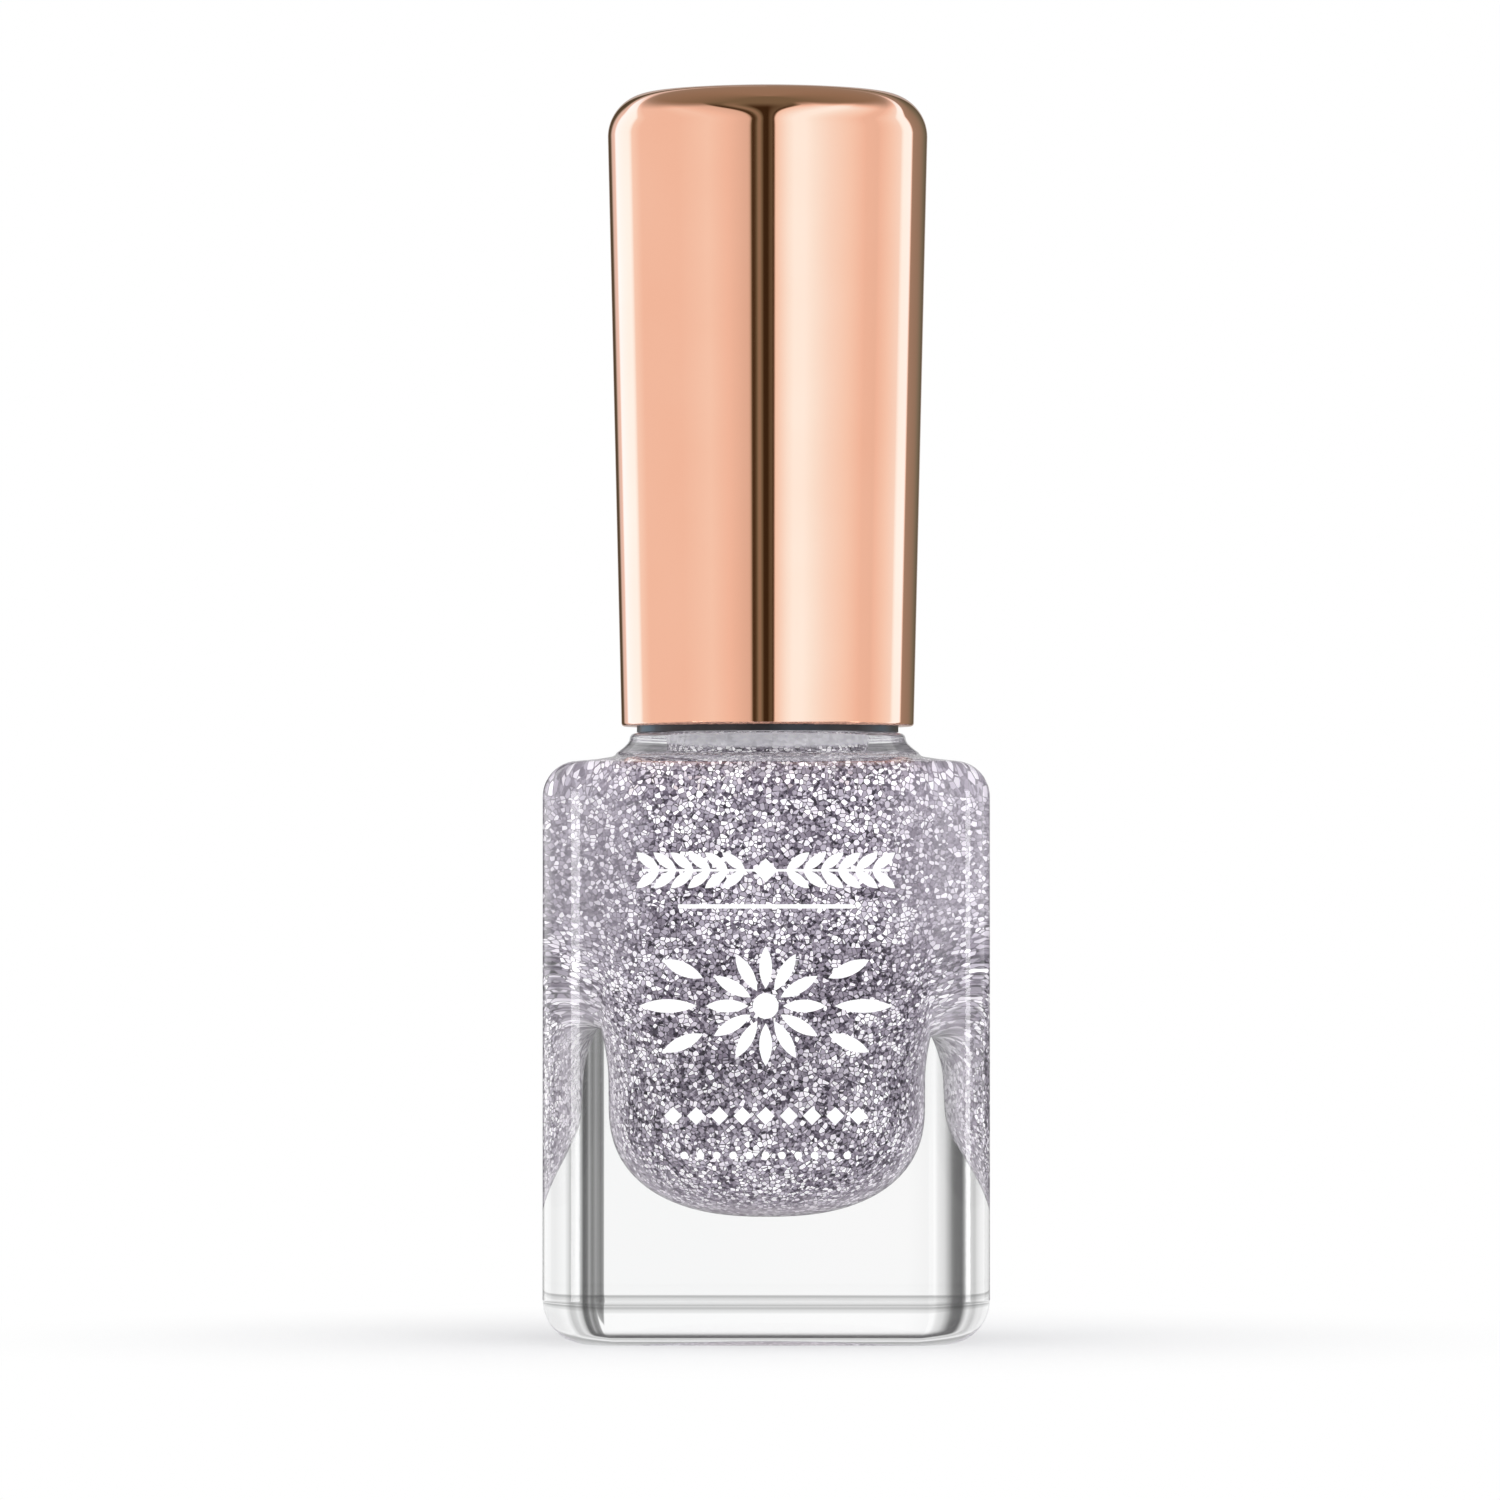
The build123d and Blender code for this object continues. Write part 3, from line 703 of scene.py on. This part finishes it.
def glitter_material():
    """Silver flakes of random brightness and tilt in a lavender-grey lacquer, with painted glints and a
    faint painted glow.
    """
    material, s = new_material("silver_glitter_lacquer")
    place = s.object_mm()
    axes = s.add("ShaderNodeSeparateXYZ", {0: place})
    height = axes.outputs[2]
    corner = s.math("MULTIPLY", s.math("ABSOLUTE", axes.outputs[0]), s.math("ABSOLUTE", axes.outputs[1]))
    calm = s.scaled_ramp(corner, CORNER_SPAN, CORNER_CALM)

    # Drifts a few millimetres across hold more flakes, and brighter ones.
    drift = s.math("MULTIPLY", s.math("SUBTRACT", s.noise(place, 0.17, 3.0), 0.5), 0.95)
    cells = s.cells(place, FLAKE_SIZE).outputs["Color"]
    edge = s.cells(place, FLAKE_SIZE, "DISTANCE_TO_EDGE").outputs["Distance"]
    channels = s.add("ShaderNodeSeparateColor", {0: cells})
    level = s.math("ADD", channels.outputs[0], drift, clamp=True)
    present = s.ramp(s.math("ADD", channels.outputs[1], drift), [(0.30, 0.0), (0.32, 1.0)])
    flake = s.math("MULTIPLY", s.ramp(edge, [(0.05, 0.0), (0.10, 1.0)]), present)
    colour = s.mix(flake, lacquer_ground(s, place, drift, present), flake_tone_and_glints(s, level))
    colour = bowl_shading(s, colour, height, calm)

    shine = s.math("MULTIPLY", flake, s.ramp(channels.outputs[2], [(0.55, 0.0), (0.7, 0.6)]))
    shine = s.math("MULTIPLY", shine, s.math("SUBTRACT", 1.0, calm))
    # Painted glints: each flake glows by its level, and the whole polish glows faintly, as painted light.
    painted_glow = s.math("MULTIPLY", flake, s.ramp(level, [(0.3, 0.10), (0.9, 0.52)]))
    painted_glow = s.math("ADD", painted_glow, 0.06)

    # Clear lacquer without flakes stands above the glitter, inside the collar.
    film = s.scaled_ramp(height, LOOK_SPAN, FILM)
    film_tone = s.ramp(s.noise(place, 1.8, 3.0), [(0.3, (0.60, 0.58, 0.63)), (0.7, (0.72, 0.70, 0.74))])
    colour = s.mix(film, colour, film_tone)
    shine = s.math("MULTIPLY", shine, s.math("SUBTRACT", 1.0, film))
    # Painted glow: the clear film glows evenly, as painted light.
    painted_glow = s.mix_value(film, painted_glow, 0.5)
    s.output(s.add("ShaderNodeBsdfPrincipled", {
        "Base Color": colour, "Metallic": shine, "Roughness": 0.32, "Normal": flake_normal(s, cells),
        "Emission Color": colour, "Emission Strength": painted_glow}))
    return material


def ink_material():
    """White screen-printing ink with a slightly uneven coat and a faint painted glow."""
    material, s = new_material("white_screen_ink")
    coat = s.ramp(s.noise(s.object_mm(), 2.5, 3.0), [(0.3, (0.93, 0.93, 0.93)), (0.7, (1.0, 1.0, 1.0))])
    # Painted glow: the ink glows faintly, as painted light.
    s.output(s.add("ShaderNodeBsdfPrincipled", {
        "Base Color": coat, "Roughness": 0.5, "Emission Color": coat, "Emission Strength": 0.18}))
    return material


def plastic_material(name, dark, light, roughness, grain):
    """Moulded plastic with soft colour mottling and a fine surface grain."""
    material, s = new_material(name)
    place = s.object_mm()
    colour = s.ramp(s.noise(place, grain, 4.0), [(0.3, dark), (0.7, light)])
    normal = s.bump(s.noise(place, grain * 6, 2.0), 0.15, 0.05)
    s.output(s.add("ShaderNodeBsdfPrincipled", {
        "Base Color": colour, "Roughness": roughness, "Normal": normal}))
    return material


def metal_material(name, dark, light, roughness, grain):
    """Plain metal with faint wear in its colour and polish."""
    material, s = new_material(name)
    worn = s.noise(s.object_mm(), grain, 4.0)
    colour = s.ramp(worn, [(0.3, dark), (0.7, light)])
    rough = s.math("ADD", s.math("MULTIPLY", worn, 0.15), roughness)
    s.output(s.add("ShaderNodeBsdfPrincipled", {
        "Base Color": colour, "Metallic": 1.0, "Roughness": rough}))
    return material


# ---------------------------------------------------------------- build the pieces

def wear(piece, material):
    """Give a piece its material."""
    piece.data.materials.clear()
    piece.data.materials.append(material)


def stand_in(piece, material, body, node):
    """Dress a rebuilt piece, ride it on its body and let it take a CAD node's place."""
    wear(piece, material)
    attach(piece, body)
    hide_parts(node)


def rebuilt_pieces():
    """The four pieces that carry the look; gives back the glass."""
    glass = glass_mesh()
    nylon = plastic_material("black_nylon_bristle", (0.012, 0.012, 0.014), (0.03, 0.03, 0.034), 0.35, 3.0)
    stand_in(glass, glass_material(), "bottle", "glass_bottle")
    stand_in(polish_mesh(), glitter_material(), "bottle", "polish_fill")
    stand_in(cap_mesh(), rose_gold_material(), "cap", "outer_cap")
    stand_in(bristle_mesh(), nylon, "brush", "bristle_tuft")
    return glass


def cad_pieces():
    """Materials for the pieces that show their CAD mesh."""
    steel = metal_material("polished_ball_steel", (0.60, 0.60, 0.62), (0.74, 0.74, 0.76), 0.12, 1.5)
    liner = plastic_material("soft_liner_white", (0.80, 0.80, 0.78), (0.90, 0.90, 0.88), 0.55, 1.0)
    stem = plastic_material("black_stem_plastic", (0.015, 0.015, 0.016), (0.03, 0.03, 0.032), 0.3, 1.2)
    brass = metal_material("brass_anchor", (0.62, 0.45, 0.20), (0.80, 0.62, 0.30), 0.25, 3.0)
    inner_cap = plastic_material("inner_cap_black", (0.014, 0.013, 0.015), (0.03, 0.028, 0.03), 0.35, 0.8)
    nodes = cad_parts
    wear(nodes["front_print"], ink_material())
    wear(nodes["mixing_ball_left"], steel)
    wear(nodes["mixing_ball_right"], steel)
    wear(nodes["sealing_liner"], liner)
    wear(nodes["brush_stem"], stem)
    wear(nodes["bristle_anchor"], brass)
    wear(nodes["inner_cap"], inner_cap)


# ---------------------------------------------------------------- studio

# Brightness round the object, by degrees clockwise from the camera seen from above.
STUDIO_RING = [
    (-180, 0.5), (-171, 0.5), (-169, 0.06), (-158, 0.08), (-153, 0.7), (-146, 0.8), (-142, 2.2),
    (-121, 2.2), (-116, 1.05), (-105, 0.86), (-68, 0.86), (-44, 0.97), (-13, 0.70), (-12, 0.25),
    (4.4, 0.25), (5.0, 0.93), (16, 1.5), (19, 1.9), (27, 1.9), (34, 1.45), (46, 1.22),
    (76, 0.82), (87, 0.8), (100, 0.98), (113, 1.2), (117, 2.2), (127, 2.2),
    (130, 0.35), (150, 0.22), (168, 0.08), (170, 0.5), (180, 0.5),
]
# Dark lines inside the gap that faces the camera.
GAP_STRIPES = [
    (-12.6, 1.0), (-12, 0.20), (-9, 0.16), (-7.2, 0.9), (-5, 1.0), (-3.2, 0.12),
    (0, 0.10), (1.5, 0.36), (3.3, 0.5), (4.2, 0.12), (5, 1.0),
]
# The dark parts are brown, the middle tones warm and the brightest parts cool.
STUDIO_TINT = [
    (0.0, (0.01, 0.005, 0.0)), (0.04, (0.06, 0.04, 0.02)), (0.17, (0.19, 0.185, 0.135)),
    (0.25, (0.30, 0.265, 0.215)), (0.40, (0.40, 0.37, 0.34)), (0.84, (0.92, 0.84, 0.84)),
    (1.0, (0.97, 1.0, 1.05)), (1.45, (1.02, 1.35, 1.6)), (2.4, (1.1, 1.6, 2.0)),
]
STUDIO_PEAK = 2.4
UNTINTED_PEAK = 1.6
# The gap widens between these elevations, until it takes up this share of the room.
GAP_WIDENING_START = 20.0
GAP_WIDENING_END = 62.0
GAP_WIDENING = 0.86
# The dark ceiling: its brightness towards the camera and behind the object, the elevations
# where it sets in, and how much lower it reaches behind the object.
OVERHEAD_FRONT = 0.17
OVERHEAD_BACK = 0.27
OVERHEAD_START = 52.0
OVERHEAD_FULL = 70.0
OVERHEAD_LEAN = 32.0

# What the bottle's glass bends into view: a white panel inside a dark rounded frame, then
# pale walls. The distance from the middle of the panel, in degrees, sets the brightness.
BACKDROP = [
    (0, 1.0), (24.0, 1.0), (24.6, 0.80), (25.2, 0.60), (25.8, 0.42), (26.4, 0.27), (27.2, 0.15),
    (28.2, 0.10), (30.2, 0.09), (31.0, 0.22), (31.8, 0.50), (32.6, 0.80), (33.8, 0.56), (35, 0.58),
    (36.0, 0.70), (37.5, 0.80), (39, 0.95), (41.5, 0.5), (44, 0.33), (50, 0.42), (62, 0.5), (90, 0.5),
]
# Degrees to the side of straight behind, right being positive, and the distance they count as.
BACKDROP_SIDES = [
    (-180, 39), (-47, 39), (-39, 37.5), (-33, 37.5), (-29, 36), (-26, 34), (-20.3, 32.6),
    (-17.9, 31.7), (-15.8, 30.4), (-13.8, 29), (-10.3, 27.3), (-8.6, 26.2), (-7.1, 25.6),
    (-5.6, 25.05), (-2.7, 24.65), (-1, 24), (1.05, 24), (1.4, 26), (3.3, 27.1), (4.8, 26),
    (6.4, 28), (7.8, 30.4), (9, 31.8), (11.2, 32.6), (13.1, 33.5), (15.1, 33.7), (17.2, 36.6),
    (19.6, 39), (29, 38), (180, 38),
]
# A grey line low across the panel, by elevation.
BACKDROP_LINE = [
    (0, 1.0), (0.8, 0.97), (1.3, 0.53), (2.2, 0.53), (3.2, 0.74), (4.9, 0.86), (5.6, 1.0), (90, 1.0),
]
BACKDROP_SPAN = 90.0
BACKDROP_CORNER_POWER = 16.0


def ring_stops(ring, peak=1.0):
    """Ramp stops for brightness given by degrees from the camera."""
    return [((angle + 180) / 360, level / peak) for angle, level in ring]


def side_share(angle):
    """Place on a ramp, finest near straight behind, for degrees to the side of it."""
    return 0.5 + 0.5 * math.copysign(math.sqrt(abs(angle) / 180), angle)


def turned_from_camera(s, axes):
    """How far round from the camera a direction lies, from -0.5 to 0.5 of a turn."""
    ahead = s.add("ShaderNodeVectorTransform", {0: (0, 0, 1)},
                  vector_type="VECTOR", convert_from="CAMERA", convert_to="WORLD")
    ahead_axes = s.add("ShaderNodeSeparateXYZ", {0: ahead.outputs[0]})
    here = s.math("ARCTAN2", axes.outputs[0], axes.outputs[1])
    camera = s.math("ARCTAN2", ahead_axes.outputs[0], ahead_axes.outputs[1])
    turns = s.math("DIVIDE", s.math("SUBTRACT", camera, here), 2 * math.pi)
    return s.math("SUBTRACT", s.math("FRACT", s.math("ADD", turns, 2.0)), 0.5)


def studio_level(s, turned, backwards, elevation):
    """Brightness of the softboxes, of the gap between them and of the dark ceiling."""
    widening = s.rise(elevation, GAP_WIDENING_START, GAP_WIDENING_END, 0.0, GAP_WIDENING)
    squeezed = s.math("ADD", s.math("MULTIPLY", turned, s.math("SUBTRACT", 1.0, widening)), 0.5)
    level = s.math("MULTIPLY", s.ramp(squeezed, ring_stops(STUDIO_RING, STUDIO_PEAK)), STUDIO_PEAK)
    level = s.math("MULTIPLY", level, s.ramp(squeezed, ring_stops(GAP_STRIPES)))
    lean = s.ramp(backwards, [(0.3, 0.0), (0.9, 1.0)])
    measure = s.math("ADD", elevation, s.math("MULTIPLY", lean, OVERHEAD_LEAN))
    overhead = s.math("ADD", s.math("MULTIPLY", lean, OVERHEAD_BACK - OVERHEAD_FRONT), OVERHEAD_FRONT)
    return s.mix_value(s.rise(measure, OVERHEAD_START, OVERHEAD_FULL), level, overhead)


def studio_tint(s, level):
    """The studio's colour for its brightness."""
    stops = [(bright, tuple(part / STUDIO_PEAK for part in colour)) for bright, colour in STUDIO_TINT]
    return s.vector("MULTIPLY", s.scaled_ramp(level, STUDIO_PEAK, stops), (STUDIO_PEAK,) * 3)


def glass_backdrop(s, turned, backwards, elevation):
    """What is seen through the glass, by direction."""
    # The next three lines are side_share, worked out from the turn.
    aside = s.math("SQRT", s.math("SUBTRACT", 1.0, backwards))
    aside = s.math("MULTIPLY", aside, s.math("SIGN", turned))
    aside = s.math("ADD", s.math("MULTIPLY", aside, 0.5), 0.5)
    side_stops = [(side_share(angle), reach / BACKDROP_SPAN) for angle, reach in BACKDROP_SIDES]
    across = s.ramp(aside, side_stops)
    up = s.math("MAXIMUM", elevation, 0.0)
    # A high power joins the two distances into a square with rounded corners.
    across = s.math("POWER", across, BACKDROP_CORNER_POWER)
    upwards = s.math("POWER", s.math("DIVIDE", up, BACKDROP_SPAN), BACKDROP_CORNER_POWER)
    outwards = s.math("POWER", s.math("ADD", across, upwards), 1 / BACKDROP_CORNER_POWER)
    panel = s.ramp(outwards, [(angle / BACKDROP_SPAN, level) for angle, level in BACKDROP])
    return s.multiply(panel, s.scaled_ramp(up, BACKDROP_SPAN, BACKDROP_LINE))


def studio_world():
    """Softboxes to both sides, a dark gap at the camera, a dark ceiling and a white backdrop."""
    world = bpy.data.worlds.new("studio")
    bpy.context.scene.world = world
    s = Shader(world)
    axes = s.add("ShaderNodeSeparateXYZ", {0: s.add("ShaderNodeTexCoord").outputs["Generated"]})
    elevation = s.math("MULTIPLY", s.math("ARCSINE", axes.outputs[2]), 180 / math.pi)
    turned = turned_from_camera(s, axes)
    backwards = s.math("ABSOLUTE", s.math("MULTIPLY", turned, 2.0))
    level = studio_level(s, turned, backwards, elevation)

    path = s.add("ShaderNodeLightPath")
    # The glass, which mirrors sharply, and matt surfaces see the studio without its tint.
    untinted = s.math("MAXIMUM", path.outputs["Is Singular Ray"], path.outputs["Is Diffuse Ray"])
    light = s.mix(untinted, studio_tint(s, level), s.math("MINIMUM", level, UNTINTED_PEAK))
    behind = glass_backdrop(s, turned, backwards, elevation)
    light = s.mix(path.outputs["Is Transmission Ray"], light, behind)
    light = s.mix(path.outputs["Is Camera Ray"], light, (1, 1, 1))
    studio = s.add("ShaderNodeBackground", {"Color": light, "Strength": 1.0})
    s.add("ShaderNodeOutputWorld", {"Surface": studio.outputs[0]})


TABLE_RADIUS = 58.0
TABLE_Z = GLASS_LOW.z - 0.01
TABLE_FADE_START = 18.0
TABLE_FADE_END = 54.0
TABLE_GLOW = 0.25


def table_material():
    """White paper that glows more and more towards the rim, where it meets the backdrop."""
    material, s = new_material("white_table")
    place = s.object_mm()
    paper = s.ramp(s.noise(place, 0.02, 2.0), [(0.3, (0.86, 0.86, 0.86)), (0.7, (0.88, 0.88, 0.88))])
    diffuse = s.add("ShaderNodeBsdfDiffuse", {"Color": paper})
    glow = s.add("ShaderNodeEmission", {"Color": (1, 1, 1, 1), "Strength": 1.0})
    distance = s.add("ShaderNodeVectorMath", {0: place}, operation="LENGTH").outputs["Value"]
    fade = s.rise(distance, TABLE_FADE_START, TABLE_FADE_END, TABLE_GLOW, 1.0)
    # From below the table is clear, so that the bottle's base can be seen.
    below = s.add("ShaderNodeNewGeometry").outputs["Backfacing"]
    clear = s.add("ShaderNodeBsdfTransparent")
    s.output(s.mix_surface(below, s.mix_surface(fade, diffuse, glow), clear))
    return material


def studio_floor():
    """A round white table that fades into the white backdrop."""
    verts = [Vector((0, 0, TABLE_Z))]
    faces = []
    for i in range(TABLE_STEPS):
        angle = 2 * math.pi * i / TABLE_STEPS
        verts.append(Vector((TABLE_RADIUS * math.cos(angle), TABLE_RADIUS * math.sin(angle), TABLE_Z)))
        faces.append((0, 1 + i, 1 + (i + 1) % TABLE_STEPS))
    floor = make_mesh("studio_floor", verts, faces)
    floor.data.materials.append(table_material())


# Lamps are placed and sized in metres, and their power is in watts.
OVERHEAD_LAMP_SIZE = 0.5
OVERHEAD_LAMP_HEIGHT = 0.6
OVERHEAD_LAMP_POWER = 2.1
# Upright strip lamps mirrored by the bottle's corners: degrees from the camera and width.
STRIP_LAMPS = [(-52, 0.16), (77, 0.10)]
STRIP_DISTANCE = 0.5
STRIP_LENGTH = 0.24
STRIP_MIDDLE_HEIGHT = 0.03
STRIP_RADIANCE = 6.0


def add_lamp(name, shape, size, power):
    """An area lamp that is never seen directly nor through the glass."""
    data = bpy.data.lights.new(name, "AREA")
    data.shape = shape
    data.size = size
    data.energy = power
    lamp = bpy.data.objects.new(name, data)
    bpy.context.scene.collection.objects.link(lamp)
    lamp.visible_camera = False
    lamp.visible_transmission = False
    return lamp


def studio_lamp():
    """A soft lamp overhead that lights the table but isn't mirrored in the cap."""
    lamp = add_lamp("overhead", "DISK", OVERHEAD_LAMP_SIZE, OVERHEAD_LAMP_POWER)
    lamp.location = (0.0, 0.0, OVERHEAD_LAMP_HEIGHT)
    lamp.visible_glossy = False


def strip_lamps(glass):
    """Soft strips that draw a light line down the bottle's rounded corners."""
    only_glass = bpy.data.collections.new("strip_lamp_receivers")
    only_glass.objects.link(glass)
    for degrees, width in STRIP_LAMPS:
        power = STRIP_RADIANCE * math.pi * width * STRIP_LENGTH
        lamp = add_lamp("strip", "RECTANGLE", width, power)
        lamp.data.size_y = STRIP_LENGTH
        angle = math.radians(degrees)
        outwards = Vector((math.sin(angle), -math.cos(angle), 0)) * STRIP_DISTANCE
        lamp.location = outwards + Vector((0, 0, STRIP_MIDDLE_HEIGHT))
        lamp.rotation_euler = (-outwards).to_track_quat("-Z", "Y").to_euler()
        lamp.visible_diffuse = False
        lamp.light_linking.receiver_collection = only_glass


CAMERA_DISTANCE = 611.4
CAMERA_HEIGHT = 26.1
CAMERA_SIDE = -1.05
CAMERA_TURN = 0.6
AIM_HEIGHT = 35.0
CAMERA_LENS = 246.5
CAMERA_SENSOR = 36.0
CAMERA_NEAREST = 10.0


def studio_camera():
    """A long lens near the height of the print, turned very slightly to the right."""
    data = bpy.data.cameras.new("camera")
    data.lens = CAMERA_LENS
    data.sensor_width = CAMERA_SENSOR
    data.clip_start = CAMERA_NEAREST * MM
    camera = bpy.data.objects.new("camera", data)
    bpy.context.scene.collection.objects.link(camera)
    turn = math.radians(CAMERA_TURN)
    side = CAMERA_SIDE + CAMERA_DISTANCE * math.sin(turn)
    place = Vector((side, -CAMERA_DISTANCE * math.cos(turn), CAMERA_HEIGHT)) * MM
    aim = Vector((CAMERA_SIDE, 0, AIM_HEIGHT)) * MM
    camera.location = place
    camera.rotation_euler = (aim - place).to_track_quat("-Z", "Y").to_euler()
    bpy.context.scene.camera = camera


def colours_and_bounces():
    """Plain colours, and enough bounces for light to pass in and out of the thick glass."""
    scene = bpy.context.scene
    scene.view_settings.view_transform = "Standard"
    scene.cycles.max_bounces = 24
    scene.cycles.transmission_bounces = 20
    scene.cycles.transparent_max_bounces = 16
    scene.cycles.glossy_bounces = 8


glass_piece = rebuilt_pieces()
cad_pieces()
studio_world()
studio_floor()
studio_lamp()
strip_lamps(glass_piece)
studio_camera()
colours_and_bounces()
